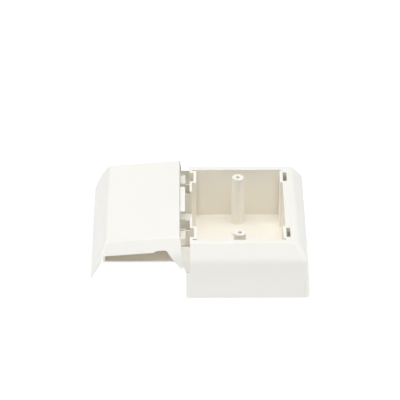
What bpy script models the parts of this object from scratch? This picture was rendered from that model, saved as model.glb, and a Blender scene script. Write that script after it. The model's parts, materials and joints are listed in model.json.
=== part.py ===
"""Offset outlet box for fibre in surface raceway, with a sliding bridge tray and a hinged bridge cover.

The deep box stands on the right. Its left wall carries a shelf and four guide ribs. A bridge tray
slides along the shelf, over the raceway, and the bridge cover turns on two pins in the tray's outer
wall. At rest the tray is drawn out of the box and the cover's right edge stands a little open.

X runs to the right across box and cover, Y runs along the raceway, and Z is up from the wall or
table that the box is fixed to. Lengths are in metres and angles in degrees until they are used.
"""

import math

import bmesh
import bpy
from mathutils import Vector

MM = 0.001
GAP = 0.3 * MM

# How far helper solids sink into a neighbour, or run past the faces they open.
SINK = 1.0 * MM
PAST = 5.0 * MM
FAR = 90.0 * MM

# Deep box: heights and plan sizes of its outer shell.
RIM_HEIGHT = 45.5 * MM
RIM_WIDTH = 86.6 * MM
RIM_HALF_DEPTH = 58.1 * MM
CHAMFER_DROP = 12.3 * MM
CHAMFER_RUN = 8.5 * MM
RIGHT_CHAMFER_RUN = 7.1 * MM
BASE_REACH = 95.3 * MM
BASE_HALF_DEPTH = 67.6 * MM
LEDGE_HEIGHT = 22.0 * MM
LEDGE_REACH = 2.6 * MM
SHELL = 2.2 * MM
RIM_CORNER = 5.0 * MM
BASE_CORNER = 3.2 * MM
SHOULDER_RADIUS = 4.5 * MM
CREASE_RADIUS = 10.0 * MM
EDGE_RADIUS = 0.4 * MM
VOID_WALL = 3.2 * MM

# Deep box: device cavity, screw posts and fixing holes.
CAVITY_LEFT = 2.6 * MM
CAVITY_RIGHT = 76.2 * MM
CAVITY_HALF_DEPTH = 52.9 * MM
FLOOR = 2.2 * MM
INNER_WALL = 2.1 * MM
POST_X = 40.1 * MM
POST_PITCH = 83.3 * MM
POST_TOP_RADIUS = 4.85 * MM
POST_FOOT_RADIUS = 5.3 * MM
POST_HOLE_RADIUS = 1.6 * MM
POST_HOLE_DEPTH = 20.0 * MM
POST_SUNK = 0.3 * MM
PLUG_Y = 25.0 * MM
PLUG_RADIUS = 5.4 * MM
PLUG_HOLE_RADIUS = 4.8 * MM
PLUG_FLANGE = 0.6 * MM

# Deep box: clip pockets in the left and right walls, and the fibre window.
COLUMN_INNER = 33.0 * MM
COLUMN_OUTER = 51.3 * MM
LEFT_COLUMN_REACH = 6.2 * MM
RIGHT_COLUMN_REACH = 1.9 * MM
POCKET_INNER = 35.4 * MM
POCKET_OUTER = 48.6 * MM
POCKET_REACH = 3.7 * MM
POCKET_FLOOR = 30.0 * MM
SLOT_LEFT = 76.9 * MM
SLOT_RIGHT = 80.0 * MM
WINDOW_HALF = 19.4 * MM
UPPER_WALL = 0.5 * MM

# Deep box: shelf, guide ribs and raceway lips on its left side.
SHELF_REACH = 9.5 * MM
SHELF_THICKNESS = 1.2 * MM
SHELF_HALF = 48.0 * MM
RIB_REACH = 9.0 * MM
RIB_THICKNESS = 1.0 * MM
RIB_CENTRES = (19.5 * MM, 34.7 * MM)
RIB_STEP = 2.5 * MM
RIB_HIGH = 44.0 * MM
RIB_LOW = 42.8 * MM
LIP_REACH = 8.0 * MM
LIP_HEIGHT = 41.8 * MM
LIP_THICKNESS = 1.5 * MM
LIP_CLEARANCE = 0.4 * MM
LIP_FOOT_REACH = 1.8 * MM

# Bridge cover, measured in its closed place with the tray pushed home.
COVER_TOP = 46.25 * MM
COVER_SHELL = 1.8 * MM
COVER_RIGHT = 0.4 * MM
COVER_CREASE = 59.7 * MM
COVER_CHAMFER_DROP = 21.0 * MM
COVER_CHAMFER_RUN = 12.0 * MM
COVER_DEPTH = 26.8 * MM
COVER_END_RUN = 8.4 * MM
COVER_END_REACH = 9.2 * MM
COVER_REACH = 73.6 * MM
COVER_CORNER_RADIUS = 2.5 * MM
COVER_SHOULDER_RADIUS = 3.0 * MM
COVER_CREASE_RADIUS = 40.0 * MM
CUTOUT_TOP = 37.2 * MM
CUTOUT_STEP = 38.4 * MM
CUTOUT_FOOT = 22.4 * MM
CUTOUT_SLOPE = 1.7
TAB_HALF = 18.5 * MM
TAB_REACH = 3.5 * MM
TAB_SUNK = 0.9 * MM
TAB_THICKNESS = 1.3 * MM
TAB_CORNER = 1.2 * MM
LUG_INNER = 36.0 * MM
LUG_OUTER = 48.0 * MM
LUG_REACH = 3.1 * MM
LUG_TOP = 38.1 * MM
LUG_FOOT = 31.8 * MM
LUG_STEM = 1.8 * MM
LUG_ROOT = 3.4 * MM

# Motion: the tray slides and the cover turns about the pins.
SLIDE_HOME = 4.7 * MM
REST_OPENING = 4.5
PIN_X = 66.4 * MM
PIN_HEIGHT = 23.6 * MM
PIN_RADIUS = 1.0 * MM
PIN_HOLE = 1.3 * MM
KNUCKLE_RADIUS = 2.3 * MM
KNUCKLE_HALF = 1.5 * MM
EAR_THICKNESS = 2.0 * MM
EAR_ROOT = 4.7 * MM
HINGE_CENTRE = 28.0 * MM

# Bridge tray, measured with the tray pushed home.
TRAY_LEFT = 63.5 * MM
TRAY_RIGHT = 0.6 * MM
TRAY_HALF = 51.5 * MM
TRAY_BOTTOM = LEDGE_HEIGHT + SHELF_THICKNESS + GAP
TRAY_FLOOR = 1.5 * MM
TRAY_WALL = 1.9 * MM
TRAY_WALL_TOP = 34.0 * MM
NUDGE = 0.05 * MM
TRAY_SLOT_REACH = 15.0 * MM
TONGUE_HALF = 18.3 * MM
TONGUE_REACH = 7.2 * MM

# Fibre management on the tray.
SPOOL_X = 36.0 * MM
SPOOL_Y = 12.0 * MM
SPOOL_RADIUS = 16.0 * MM
SPOOL_WALL = 1.8 * MM
SPOOL_BASE = 1.6 * MM
SPOOL_HEIGHT = 11.0 * MM
SPOOL_TAB = 3.0 * MM
SPOOL_STEPS = 20
SCREW_RADIUS = 1.4 * MM
SCREW_HEAD_RADIUS = 2.8 * MM
SCREW_HEAD = 1.6 * MM
SCREW_LENGTH = 3.0 * MM
RECESS_DEPTH = 0.7 * MM
RECESS_WIDTH = 0.4 * MM
RECESS_LENGTH = 1.7 * MM
HOLDER_LENGTH = 18.0 * MM
HOLDER_WIDTH = 25.0 * MM
HOLDER_HEIGHT = 6.0 * MM
HOLDER_GROOVES = 6
HOLDER_GROOVE_RADIUS = 1.35 * MM
TAPE_MARGIN = 1.0 * MM
SLEEVE_LENGTH = 38.0 * MM
SLEEVE_RADIUS = HOLDER_GROOVE_RADIUS - GAP
SLEEVE_GROOVES = (1, 2, 3, 4)
TAPE = 0.8 * MM
CLIP_PLACES = (("outer", 57.6 * MM, 20.0 * MM), ("inner", 12.0 * MM, 27.0 * MM))
CLIP_LENGTH = 4.0 * MM
CLIP_SIZE = 7.0 * MM
CLIP_HEIGHT = 8.0 * MM
CLIP_WALL = 1.4 * MM

# Foam tape under the box.
FOAM_LENGTH = 80.0 * MM
FOAM_WIDTH = 16.0 * MM
FOAM_OFFSET = 22.0 * MM


def rest_place(x, z):
    """Where a point of the closed cover, x and z beside the rim's left edge, stands at rest."""
    angle = math.radians(REST_OPENING)
    across = x + PIN_X
    above = z - PIN_HEIGHT
    turned_x = across * math.cos(angle) - above * math.sin(angle)
    turned_z = across * math.sin(angle) + above * math.cos(angle)
    return turned_x - PIN_X - SLIDE_HOME, turned_z + PIN_HEIGHT


# The rim's left edge is the datum for X; it is placed so that the whole object is centred on X = 0.
LEFT_REACH = -rest_place(-COVER_REACH, COVER_TOP - COVER_DEPTH)[0]
DATUM_X = (LEFT_REACH - BASE_REACH) / 2


def clear_scene():
    """Remove every object of the open scene."""
    for item in list(bpy.data.objects):
        bpy.data.objects.remove(item, do_unlink=True)


def make_material(name, colour, roughness, metallic=0.0):
    """A Principled material with one colour."""
    material = bpy.data.materials.new(name)
    material.use_nodes = True
    shader = material.node_tree.nodes["Principled BSDF"]
    shader.inputs["Base Color"].default_value = (*colour, 1.0)
    shader.inputs["Roughness"].default_value = roughness
    shader.inputs["Metallic"].default_value = metallic
    return material


def add_object(name, mesh_data, material=None, parent=None):
    """Turn a bmesh into a named object, flat faces flat and round faces smooth."""
    bmesh.ops.recalc_face_normals(mesh_data, faces=mesh_data.faces[:])
    mesh = bpy.data.meshes.new(name)
    mesh_data.to_mesh(mesh)
    mesh_data.free()
    mesh.shade_smooth()
    mesh.set_sharp_from_angle(angle=math.radians(30))
    item = bpy.data.objects.new(name, mesh)
    bpy.context.scene.collection.objects.link(item)
    if material:
        mesh.materials.append(material)
    if parent:
        item.parent = parent
    return item


def combine(target, tool, operation):
    """Cut a helper solid out of the target, or fuse it on, and keep the helper as a guide."""
    tool.hide_render = True
    tool.display_type = "WIRE"
    modifier = target.modifiers.new(tool.name, "BOOLEAN")
    modifier.object = tool
    modifier.operation = operation
    modifier.solver = "EXACT"


def cut(target, mesh_data, name):
    """Take a helper solid away from the target."""
    combine(target, add_object(name, mesh_data, parent=target.parent), "DIFFERENCE")


def fuse(target, mesh_data, name):
    """Make a helper solid one body with the target."""
    combine(target, add_object(name, mesh_data, parent=target.parent), "UNION")


def loft(loops):
    """A closed solid through loops of points that all have the same count."""
    mesh_data = bmesh.new()
    rings = [[mesh_data.verts.new(point) for point in loop] for loop in loops]
    for low, high in zip(rings, rings[1:]):
        for index, corner in enumerate(low):
            following = (index + 1) % len(low)
            mesh_data.faces.new((corner, low[following], high[following], high[index]))
    mesh_data.faces.new(rings[0])
    mesh_data.faces.new(rings[-1])
    return mesh_data


def prism(outline, axis, low, high):
    """A flat outline pushed along an axis; the outline's two values follow the other two axes."""
    def place(pair, along):
        first, second = pair
        places = {"X": (along, first, second), "Y": (first, along, second), "Z": (first, second, along)}
        return places[axis]
    return loft([[place(pair, along) for pair in outline] for along in (low, high)])


def block(x, y, z):
    """A rectangular solid from three pairs of limits."""
    outline = [(x[0], y[0]), (x[1], y[0]), (x[1], y[1]), (x[0], y[1])]
    return prism(outline, "Z", *z)


def arc(centre, radius, start, end, steps):
    """Points along an arc in degrees, both ends included."""
    points = []
    for step in range(steps + 1):
        angle = math.radians(start + (end - start) * step / steps)
        points.append((centre[0] + radius * math.cos(angle), centre[1] + radius * math.sin(angle)))
    return points


def circle(centre, radius, steps):
    """Points once round a circle."""
    return arc(centre, radius, 0, 360, steps)[:-1]


def rounded_outline(x, y, radii, steps=4):
    """A rectangle with its own radius at the two left and the two right corners."""
    left, right = radii
    points = arc((x[0] + left, y[0] + left), left, 180, 270, steps)
    points += arc((x[1] - right, y[0] + right), right, 270, 360, steps)
    points += arc((x[1] - right, y[1] - right), right, 0, 90, steps)
    points += arc((x[0] + left, y[1] - left), left, 90, 180, steps)
    return points


def at_height(outline, z):
    """Lift a flat outline to a height."""
    return [(x, y, z) for x, y in outline]


def merge(parts):
    """Several separate solids in one bmesh."""
    whole = bmesh.new()
    for part in parts:
        holder = bpy.data.meshes.new("part")
        part.to_mesh(holder)
        part.free()
        whole.from_mesh(holder)
        bpy.data.meshes.remove(holder)
    return whole


def both_ends(maker):
    """The same solid at the front and at the back, from a function of the sign of Y."""
    return merge([maker(-1), maker(1)])


def span(side, near, far):
    """Y limits on one side of the middle, in rising order."""
    return tuple(sorted((side * near, side * far)))


def inset_profile(profile, thickness):
    """Move a falling profile of (reach, height) points inwards by a wall's thickness."""
    lines = []
    for (reach, height), (next_reach, next_height) in zip(profile, profile[1:]):
        run = Vector((next_reach - reach, next_height - height)).normalized()
        inward = Vector((run.y, -run.x)) * thickness
        lines.append((Vector((reach, height)) + inward, run))
    top_height = profile[0][1] - thickness
    start, run = lines[0]
    points = [tuple(start + run * ((top_height - start.y) / run.y))]
    for (start, run), (other_start, other_run) in zip(lines, lines[1:]):
        along = (other_start - start).cross(other_run) / run.cross(other_run)
        points.append(tuple(start + run * along))
    start, run = lines[-1]
    points.append(tuple(start + run * ((profile[-1][1] - start.y) / run.y)))
    return points


def corner_arc(before, corner, after, radius, steps=4):
    """Points of the arc that rounds one corner of a path."""
    here = Vector(corner)
    back = (Vector(before) - here).normalized()
    ahead = (Vector(after) - here).normalized()
    half = back.angle(ahead) / 2
    centre = here + (back + ahead).normalized() * radius / math.sin(half)
    start = here + back * radius / math.tan(half) - centre
    end = here + ahead * radius / math.tan(half) - centre
    first = math.degrees(math.atan2(start.y, start.x))
    sweep = math.degrees(start.angle_signed(end))
    return arc(centre, radius, first, first - sweep, steps)


def softened(profile, shoulder, crease):
    """A falling profile of three points whose shoulder, under a level top, and crease are rounded."""
    top, middle, foot = profile
    lead = (top[0] - PAST, top[1])
    points = corner_arc(lead, top, middle, shoulder) if shoulder else [top]
    return points + corner_arc(top, middle, foot, crease) + [foot]


def box_end_profile():
    """Reach beyond the rim's front edge and height of the box's front, from the rim down."""
    low = RIM_HEIGHT - CHAMFER_DROP
    return [(0.0, RIM_HEIGHT), (CHAMFER_RUN, low), (BASE_HALF_DEPTH - RIM_HALF_DEPTH, 0.0)]


def box_right_profile():
    """Reach beyond the rim's right edge and height of the box's right side."""
    low = RIM_HEIGHT - CHAMFER_DROP
    return [(0.0, RIM_HEIGHT), (RIGHT_CHAMFER_RUN, low), (BASE_REACH - RIM_WIDTH, 0.0)]


def levels_of(*profiles):
    """Every height at which one of the profiles bends, from the top down, without near repeats."""
    heights = sorted({z for profile in profiles for _, z in profile}, reverse=True)
    kept = [heights[0]]
    for z in heights[1:]:
        if kept[-1] - z > NUDGE:
            kept.append(z)
    return kept


def box_loop(ends, side, left, height, trim=0.0):
    """One level of the box's shell: straight on the left, rounded on the right."""
    depth = RIM_HALF_DEPTH + reach_at(ends, height)
    right = RIM_WIDTH + reach_at(side, height)
    radius = BASE_CORNER + (RIM_CORNER - BASE_CORNER) * height / RIM_HEIGHT - trim
    outline = rounded_outline(
        (DATUM_X + left, DATUM_X + right), (-depth, depth), (EDGE_RADIUS, radius),
    )
    return at_height(outline, height)


def make_box(material):
    """The deep box: shell, device cavity, posts, pockets, shelf, ribs and lips in one moulding."""
    ends = softened(box_end_profile(), 0.0, CREASE_RADIUS)
    side = softened(box_right_profile(), SHOULDER_RADIUS, CREASE_RADIUS)
    loops = [box_loop(ends, side, -LEDGE_REACH, z) for z in levels_of(ends, side)]
    box = add_object("device_box", loft(loops), material)
    hollow_box_underside(box)
    cut(box, block(
        (DATUM_X - FAR, DATUM_X + UPPER_WALL), (-FAR, FAR), (LEDGE_HEIGHT, RIM_HEIGHT + PAST),
    ), "left_step_cutter")
    add_columns_and_posts(box)
    add_left_side(box)
    cut_box_pockets(box)
    return box


def hollow_box_underside(box):
    """Open the cavity from above and the space round it from below."""
    ends = inset_profile(box_end_profile(), SHELL)
    side = inset_profile(box_right_profile(), SHELL)
    heights = [RIM_HEIGHT - SHOULDER_RADIUS, side[1][1], ends[1][1], -PAST]
    void = add_object("void_cutter", loft([
        box_loop(ends, side, VOID_WALL, z, SHELL / 2) for z in sorted(heights, reverse=True)
    ]))
    core_depth = CAVITY_HALF_DEPTH + INNER_WALL
    core = block(
        (DATUM_X - PAST, DATUM_X + CAVITY_RIGHT + INNER_WALL), (-core_depth, core_depth),
        (-2 * PAST, RIM_HEIGHT + PAST),
    )
    cut(void, core, "core_guide")
    combine(box, void, "DIFFERENCE")
    outline = rounded_outline(
        (DATUM_X + CAVITY_LEFT, DATUM_X + CAVITY_RIGHT), (-CAVITY_HALF_DEPTH, CAVITY_HALF_DEPTH),
        (2 * EDGE_RADIUS, 2 * EDGE_RADIUS), steps=2,
    )
    cut(box, prism(outline, "Z", FLOOR, RIM_HEIGHT + PAST), "cavity_cutter")
    cut(box, both_ends(lambda side: foam_block(side, GAP, -PAST)), "foam_recess_cutter")


def foam_block(side, clearance, bottom):
    """A strip of foam tape, left or right of the posts, or its recess with a clearance all round."""
    centre = DATUM_X + POST_X + side * FOAM_OFFSET
    half_width = FOAM_WIDTH / 2 + clearance
    half_length = FOAM_LENGTH / 2 + clearance
    return block(
        (centre - half_width, centre + half_width), (-half_length, half_length), (bottom, TAPE + clearance),
    )


def add_columns_and_posts(box):
    """Full-height columns behind the clip pockets, and the two faceplate screw posts."""
    fuse(box, both_ends(lambda side: block(
        (DATUM_X + UPPER_WALL + SINK, DATUM_X + LEFT_COLUMN_REACH),
        span(side, COLUMN_INNER, COLUMN_OUTER), (SINK, RIM_HEIGHT),
    )), "left_columns")
    fuse(box, both_ends(lambda side: block(
        (DATUM_X + CAVITY_RIGHT - RIGHT_COLUMN_REACH, DATUM_X + CAVITY_RIGHT + SINK),
        span(side, COLUMN_INNER, COLUMN_OUTER), (SINK, RIM_HEIGHT),
    )), "right_columns")
    top = RIM_HEIGHT - POST_SUNK
    fuse(box, both_ends(lambda side: loft([
        at_height(circle((DATUM_X + POST_X, side * POST_PITCH / 2), radius, 28), z)
        for radius, z in ((POST_FOOT_RADIUS, SINK), (POST_TOP_RADIUS, top))
    ])), "posts")
    cut(box, both_ends(lambda side: prism(
        circle((DATUM_X + POST_X, side * POST_PITCH / 2), POST_HOLE_RADIUS, 16),
        "Z", top - POST_HOLE_DEPTH, top + PAST,
    )), "post_hole_cutter")


def cut_box_pockets(box):
    """Clip pockets, the fibre window and the holes that the floor plugs close."""
    top = RIM_HEIGHT + PAST
    pockets = (
        ("left_pocket_cutter", -SINK, POCKET_REACH),
        ("right_slot_cutter", SLOT_LEFT, SLOT_RIGHT),
    )
    for name, left, right in pockets:
        cut(box, both_ends(lambda side: block(
            (DATUM_X + left, DATUM_X + right), span(side, POCKET_INNER, POCKET_OUTER), (POCKET_FLOOR, top),
        )), name)
    cut(box, block(
        (DATUM_X, DATUM_X + CAVITY_LEFT + SINK), (-WINDOW_HALF, WINDOW_HALF),
        (LEDGE_HEIGHT + SHELF_THICKNESS, top),
    ), "window_cutter")
    cut(box, both_ends(lambda side: prism(
        circle((DATUM_X + POST_X, side * PLUG_Y), PLUG_HOLE_RADIUS, 24), "Z", -PAST, FLOOR + SINK,
    )), "plug_hole_cutter")


def lip_outline(side):
    """A raceway lip in YZ: a wall that follows the inside of the cover's sloping skirt."""
    outer = [(reach - LIP_CLEARANCE, z) for reach, z in inset_profile(cover_end_profile(), COVER_SHELL)]
    (top_reach, top_z), (low_reach, low_z) = outer[0], outer[1]
    rate = (low_reach - top_reach) / (top_z - low_z)
    start = top_reach + (top_z - LIP_HEIGHT) * rate
    face = [(start, LIP_HEIGHT), (low_reach, low_z), (outer[-1][0], LEDGE_HEIGHT - SINK / 2)]
    back = [(reach - LIP_THICKNESS, z) for reach, z in reversed(face)]
    return [(side * (RIM_HALF_DEPTH + reach), z) for reach, z in face + back]


def add_left_side(box):
    """Shelf, guide ribs and raceway lips on the box's left wall."""
    fuse(box, block(
        (DATUM_X - SHELF_REACH, DATUM_X + UPPER_WALL + SINK), (-SHELF_HALF, SHELF_HALF),
        (LEDGE_HEIGHT - GAP, LEDGE_HEIGHT + SHELF_THICKNESS),
    ), "shelf")
    root = DATUM_X + UPPER_WALL + SINK
    foot = LEDGE_HEIGHT + SINK / 2
    rib = [
        (DATUM_X - RIB_REACH, foot), (root, foot), (root, RIB_LOW), (DATUM_X - RIB_STEP, RIB_LOW),
        (DATUM_X - RIB_STEP, RIB_HIGH), (DATUM_X - RIB_REACH, RIB_HIGH),
    ]
    ribs = []
    for centre in (*RIB_CENTRES, *(-value for value in RIB_CENTRES)):
        ribs.append(prism(rib, "Y", centre - RIB_THICKNESS / 2, centre + RIB_THICKNESS / 2))
    fuse(box, merge(ribs), "guide_ribs")
    lips = both_ends(lambda side: prism(
        lip_outline(side), "X", DATUM_X - LIP_REACH, DATUM_X + CAVITY_LEFT + EDGE_RADIUS,
    ))
    lip_guide = add_object("lips", lips)
    end = -LIP_REACH - SINK
    low = LEDGE_HEIGHT + GAP
    below = [(0.0, low - PAST), (-LIP_FOOT_REACH, low)]
    below += [(end, low - (end + LIP_FOOT_REACH) * CUTOUT_SLOPE), (end, low - PAST)]
    cut(lip_guide, prism([(DATUM_X + x, z) for x, z in below], "Y", -FAR, FAR), "lip_trim_cutter")
    combine(box, lip_guide, "UNION")


def cover_end_profile():
    """Reach beyond the top's front edge and height of the closed cover's front skirt."""
    low = COVER_TOP - CHAMFER_DROP
    return [(0.0, COVER_TOP), (COVER_END_RUN, low), (COVER_END_REACH, COVER_TOP - COVER_DEPTH)]


def cover_left_profile():
    """Reach beyond the top's left edge and height of the closed cover's left skirt."""
    return [
        (0.0, COVER_TOP),
        (COVER_CHAMFER_RUN, COVER_TOP - COVER_CHAMFER_DROP),
        (COVER_REACH - COVER_CREASE, COVER_TOP - COVER_DEPTH),
    ]


def reach_at(profile, z):
    """Reach of a falling profile at a height, carried on past its ends."""
    pairs = list(zip(profile, profile[1:]))
    for (reach, height), (next_reach, next_height) in pairs:
        if z >= next_height or next_height == profile[-1][1]:
            return reach + (height - z) * (next_reach - reach) / (height - next_height)
    return profile[-1][0]


def cover_loops(end_profile, left_profile, right, radius, heights):
    """Levels of the cover's shell in the hinge's frame."""
    loops = []
    for z in heights:
        depth = RIM_HALF_DEPTH + reach_at(end_profile, z)
        left = PIN_X - COVER_CREASE - reach_at(left_profile, z)
        outline = rounded_outline((left, PIN_X + right), (-depth, depth), (radius, EDGE_RADIUS / 4))
        loops.append(at_height(outline, z - PIN_HEIGHT))
    return loops


def make_cover(material, hinge):
    """The bridge cover: a shell open to the right and below, with its tab, lugs and hinge ears."""
    ends, left = cover_end_profile(), cover_left_profile()
    soft_ends = softened(ends, 0.0, CREASE_RADIUS)
    soft_left = softened(left, COVER_SHOULDER_RADIUS, COVER_CREASE_RADIUS)
    creases = levels_of(soft_ends, soft_left)
    outer = loft(cover_loops(soft_ends, soft_left, -COVER_RIGHT, COVER_CORNER_RADIUS, creases))
    cover = add_object("bridge_cover", outer, material, hinge)
    inner_ends, inner_left = inset_profile(ends, COVER_SHELL), inset_profile(left, COVER_SHELL)
    levels = [COVER_TOP - COVER_SHELL, inner_ends[1][1], inner_left[1][1], COVER_TOP - COVER_DEPTH - SINK]
    cut(cover, loft(cover_loops(
        inner_ends, inner_left, PAST, COVER_CORNER_RADIUS - COVER_SHELL * 0.8, levels,
    )), "cover_core_cutter")
    cut(cover, both_ends(
        lambda side: prism(cutout_outline(), "Y", *span(side, TRAY_HALF, FAR))
    ), "raceway_cutter")
    add_cover_catches(cover)
    add_cover_ears(cover)
    return cover


def cutout_outline():
    """The raceway's shape in XZ, cut through the cover's front and back skirts."""
    low = COVER_TOP - COVER_DEPTH - PAST
    shape = [(6 * MM, low), (6 * MM, CUTOUT_FOOT), (-2.1 * MM, CUTOUT_FOOT)]
    shape += arc((-13.6 * MM, CUTOUT_TOP - 1.9 * MM), 3.0 * MM, 25, 90, 4)
    shape += [(-20.1 * MM, CUTOUT_STEP - 0.2 * MM), (-21.7 * MM, CUTOUT_TOP)]
    shape += arc((-60.2 * MM, CUTOUT_TOP - 2.4 * MM), 2.4 * MM, 90, 155, 4)
    shape += [(-66.2 * MM, 28.9 * MM), (-70.2 * MM, 23.6 * MM), (-71.9 * MM, 19.6 * MM)]
    shape += [(-71.9 * MM, low)]
    return [(PIN_X + x, z - PIN_HEIGHT) for x, z in shape]


def add_cover_catches(cover):
    """The centre tab that lies in the fibre window, and the two lugs for the clip pockets."""
    under = COVER_TOP - COVER_SHELL - PIN_HEIGHT
    tab_top = COVER_TOP - TAB_SUNK - PIN_HEIGHT
    fuse(cover, prism(rounded_outline(
        (PIN_X - LUG_ROOT, PIN_X + TAB_REACH), (-TAB_HALF, TAB_HALF), (EDGE_RADIUS, TAB_CORNER),
    ), "Z", tab_top - TAB_THICKNESS, tab_top), "centre_tab")
    back, front, tip = PIN_X - LUG_ROOT, PIN_X - LUG_ROOT + LUG_STEM, PIN_X + LUG_REACH
    head, foot = LUG_TOP - PIN_HEIGHT, LUG_FOOT - PIN_HEIGHT
    root = under + COVER_SHELL / 3
    outline = [
        (back, root), (front, root), (front, head), (tip, head),
        (tip, foot + LUG_STEM), (tip - LUG_STEM, foot), (back, foot),
    ]
    fuse(cover, both_ends(
        lambda side: prism(outline, "Y", *span(side, LUG_INNER, LUG_OUTER))
    ), "pocket_lugs")


def add_cover_ears(cover):
    """Four bored ears inside the left skirt, a pair round each of the tray's knuckles."""
    ear = [(-EAR_ROOT, KNUCKLE_RADIUS), (-EAR_ROOT, -KNUCKLE_RADIUS)]
    ear += arc((0, 0), KNUCKLE_RADIUS, -90, 90, 10)
    ears = []
    for side in (-1, 1):
        for direction in (-1, 1):
            near = side * HINGE_CENTRE + direction * (KNUCKLE_HALF + GAP)
            far = near + direction * EAR_THICKNESS
            ears.append(prism(ear, "Y", min(near, far), max(near, far)))
    fuse(cover, merge(ears), "hinge_ears")
    cut(cover, both_ends(lambda side: prism(
        circle((0, 0), PIN_HOLE, 16), "Y", *span(side, HINGE_CENTRE - PAST, HINGE_CENTRE + PAST),
    )), "ear_bore_cutter")


def tray_outline():
    """The tray's floor in plan: a comb of tongues that slide between the box's guide ribs."""
    left, right, root = -TRAY_LEFT, -TRAY_RIGHT, -TRAY_SLOT_REACH
    play = RIB_THICKNESS / 2 + GAP
    inner, outer = RIB_CENTRES
    points = [(left, 0.0), (left, TRAY_HALF), (right, TRAY_HALF)]
    points += [(right, outer + play), (root, outer + play), (root, outer - play), (right, outer - play)]
    points += [(right, inner + play), (root, inner + play), (root, inner - play), (right, inner - play)]
    points += [(right, TONGUE_HALF), (TONGUE_REACH, TONGUE_HALF)]
    mirrored = [(x, -y) for x, y in reversed(points[1:])]
    return [(slide_rest_x(x), y) for x, y in points + mirrored]


def slide_rest_x(x):
    """World X at rest of a place on the tray that is given with the tray pushed home."""
    return DATUM_X - SLIDE_HOME + x


def make_tray(material, slide):
    """The bridge tray: comb floor, outer wall and the two hinge knuckles."""
    top = TRAY_BOTTOM + TRAY_FLOOR
    tray = add_object("bridge_tray", prism(tray_outline(), "Z", TRAY_BOTTOM, top), material, slide)
    left = slide_rest_x(-TRAY_LEFT)
    wall = block((left, left + TRAY_WALL), (-TRAY_HALF, TRAY_HALF), (TRAY_BOTTOM, TRAY_WALL_TOP))
    fuse(tray, wall, "outer_wall")
    pin_x = slide_rest_x(-PIN_X)
    arm = arc((pin_x, PIN_HEIGHT), KNUCKLE_RADIUS, 90, 270, 10)
    arm += [(left + SINK, PIN_HEIGHT - KNUCKLE_RADIUS), (left + SINK, PIN_HEIGHT + KNUCKLE_RADIUS)]
    fuse(tray, both_ends(lambda side: prism(
        arm, "Y", *span(side, HINGE_CENTRE - KNUCKLE_HALF, HINGE_CENTRE + KNUCKLE_HALF),
    )), "knuckles")
    bore = circle((pin_x, PIN_HEIGHT), PIN_HOLE, 16)
    cut(tray, both_ends(lambda side: prism(
        bore, "Y", *span(side, HINGE_CENTRE - PAST, HINGE_CENTRE + PAST),
    )), "knuckle_bore_cutter")
    cut(tray, both_ends(lambda side: prism(
        circle(screw_place(side), SCREW_RADIUS + GAP, 16), "Z", TRAY_BOTTOM - SINK, top + SINK,
    )), "screw_hole_cutter")
    return tray


def make_pins(material, slide):
    """The two hinge pins, front and back."""
    pin_x = slide_rest_x(-PIN_X)
    half = KNUCKLE_HALF + EAR_THICKNESS + 2 * GAP
    outline = circle((pin_x, PIN_HEIGHT), PIN_RADIUS, 16)
    for name, side in (("hinge_pin_front", -1), ("hinge_pin_back", 1)):
        ends = span(side, HINGE_CENTRE - half, HINGE_CENTRE + half)
        add_object(name, prism(outline, "Y", *ends), material, slide)


def screw_place(side):
    """Plan position of a slack guide's screw."""
    return slide_rest_x(-SPOOL_X), side * (SPOOL_Y + SPOOL_RADIUS * 0.55)


def make_slack_guide(name, side, material, slide):
    """A half-round guide that keeps slack fibre from bending tightly, with three holding tabs."""
    centre = (slide_rest_x(-SPOOL_X), side * SPOOL_Y)
    base_z = TRAY_BOTTOM + TRAY_FLOOR + GAP
    start, end = (0, 180) if side > 0 else (180, 360)
    plate = arc(centre, SPOOL_RADIUS, start, end, SPOOL_STEPS)
    guide = add_object(name, prism(plate, "Z", base_z, base_z + SPOOL_BASE), material, slide)
    rim = arc(centre, SPOOL_RADIUS, start, end, SPOOL_STEPS)
    rim += reversed(arc(centre, SPOOL_RADIUS - SPOOL_WALL, start, end, SPOOL_STEPS))
    top = base_z + SPOOL_HEIGHT
    fuse(guide, prism(rim, "Z", base_z, top), name + "_rim")
    tabs = []
    for middle in (start + 30, start + 90, start + 150):
        tab = arc(centre, SPOOL_RADIUS + SPOOL_TAB, middle - 9, middle + 9, 4)
        tab += reversed(arc(centre, SPOOL_RADIUS - SPOOL_WALL / 2, middle - 9, middle + 9, 4))
        tabs.append(prism(tab, "Z", top - TAB_THICKNESS, top))
    fuse(guide, merge(tabs), name + "_tabs")
    hole = circle(screw_place(side), SCREW_RADIUS + GAP, 16)
    cut(guide, prism(hole, "Z", base_z - SINK, base_z + SPOOL_BASE + SINK), name + "_screw_cutter")


def make_screw(name, side, material, slide):
    """A pan-head screw with a cross recess that holds one slack guide."""
    seat = TRAY_BOTTOM + TRAY_FLOOR + SPOOL_BASE + 2 * GAP
    across, along = screw_place(side)
    levels = (
        (SCREW_RADIUS * 0.7, seat - SCREW_LENGTH), (SCREW_RADIUS, seat - SCREW_LENGTH * 0.8),
        (SCREW_RADIUS, seat), (SCREW_HEAD_RADIUS, seat + NUDGE),
        (SCREW_HEAD_RADIUS, seat + SCREW_HEAD * 0.6), (SCREW_HEAD_RADIUS * 0.6, seat + SCREW_HEAD),
    )
    screw = add_object(name, loft([
        at_height(circle((across, along), radius, 16), z) for radius, z in levels
    ]), material, slide)
    recess = (seat + SCREW_HEAD - RECESS_DEPTH, seat + SCREW_HEAD + SINK)
    sizes = (RECESS_WIDTH, RECESS_LENGTH)
    for label, (half_x, half_y) in (("_slot", sizes), ("_cross", reversed(sizes))):
        arms = block((across - half_x, across + half_x), (along - half_y, along + half_y), recess)
        cut(screw, arms, name + label)


def holder_top():
    """Height of the splice holder's top face."""
    return TRAY_BOTTOM + TRAY_FLOOR + TAPE + 2 * GAP + HOLDER_HEIGHT


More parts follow.
